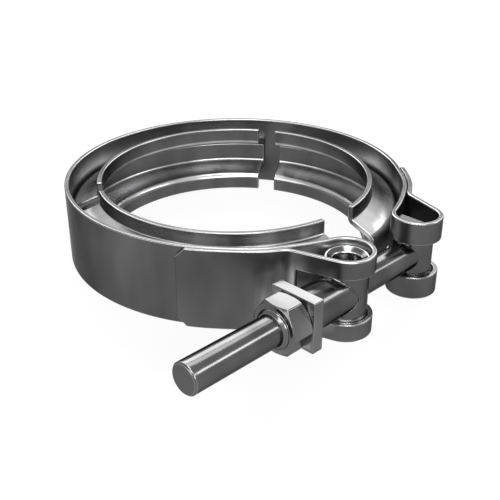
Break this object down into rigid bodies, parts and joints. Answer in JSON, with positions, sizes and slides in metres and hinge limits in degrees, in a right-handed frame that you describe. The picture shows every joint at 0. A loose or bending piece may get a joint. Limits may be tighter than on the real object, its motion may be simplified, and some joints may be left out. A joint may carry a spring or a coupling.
{
  "type": "v-band clamp",
  "caption": "V-band clamp: steel strap with V-groove retainer segments, drawn closed by a T-bolt through a trunnion with a square washer and hex nut.",
  "frame": {"origin": "on the ring's axis, halfway between the band's two edges", "axes": "+Z along the ring's axis, +X from the nut towards the bolt's head, -Y from the ring's centre to the bolt"},
  "size_m": [0.1167, 0.1108, 0.0222],
  "materials": {
    "strap_steel": "cold-rolled stainless strip, satin",
    "retainer_steel": "roll-formed stainless sheet, satin",
    "bolt_steel": "turned steel, smooth",
    "trunnion_steel": "machined steel, smooth",
    "washer_steel": "stamped steel, smooth",
    "nut_steel": "machined steel, smooth"
  },
  "bodies": {
    "back_arc": {"strap": "strap_steel", "retainer_back": "retainer_steel"},
    "right_arm": {"retainer_right": "retainer_steel"},
    "left_arm": {"retainer_left": "retainer_steel"},
    "t_bolt": {"t_bolt": "bolt_steel"},
    "trunnion": {"trunnion": "trunnion_steel", "square_washer": "washer_steel"},
    "nut": {"nut": "nut_steel"}
  },
  "joints": [
    {"name": "flex_right", "type": "hinge", "parent": "back_arc", "child": "right_arm", "pos_m": [0.04185, 0.02416, 0], "axis": [0, 0, 1], "range_deg": [-2, 8], "deforming": ["strap"]},
    {"name": "flex_left", "type": "hinge", "parent": "back_arc", "child": "left_arm", "pos_m": [-0.04185, 0.02416, 0], "axis": [0, 0, 1], "range_deg": [-8, 2], "deforming": ["strap"]},
    {"name": "bolt_pivot", "type": "hinge", "parent": "right_arm", "child": "t_bolt", "pos_m": [0.0138, -0.05455, 0], "axis": [0, 0, 1], "range_deg": [-8.3, 2.1]},
    {"name": "trunnion_pivot", "type": "hinge", "parent": "left_arm", "child": "trunnion", "pos_m": [-0.0151, -0.05455, 0], "axis": [0, 0, 1], "range_deg": [-1.95, 7.85]},
    {"name": "nut_turn", "type": "hinge", "parent": "trunnion", "child": "nut", "pos_m": [-0.0378, -0.05455, 0], "axis": [-1, 0, 0], "range_deg": [-1905, 7620]}
  ],
  "couplings": [
    {"joint": "flex_left", "follows": "flex_right", "ratio": -1},
    {"joint": "bolt_pivot", "follows": "flex_right", "ratio": -1.0287},
    {"joint": "trunnion_pivot", "follows": "flex_right", "ratio": 0.9713},
    {"joint": "nut_turn", "follows": "flex_right", "ratio": 949.76}
  ]
}
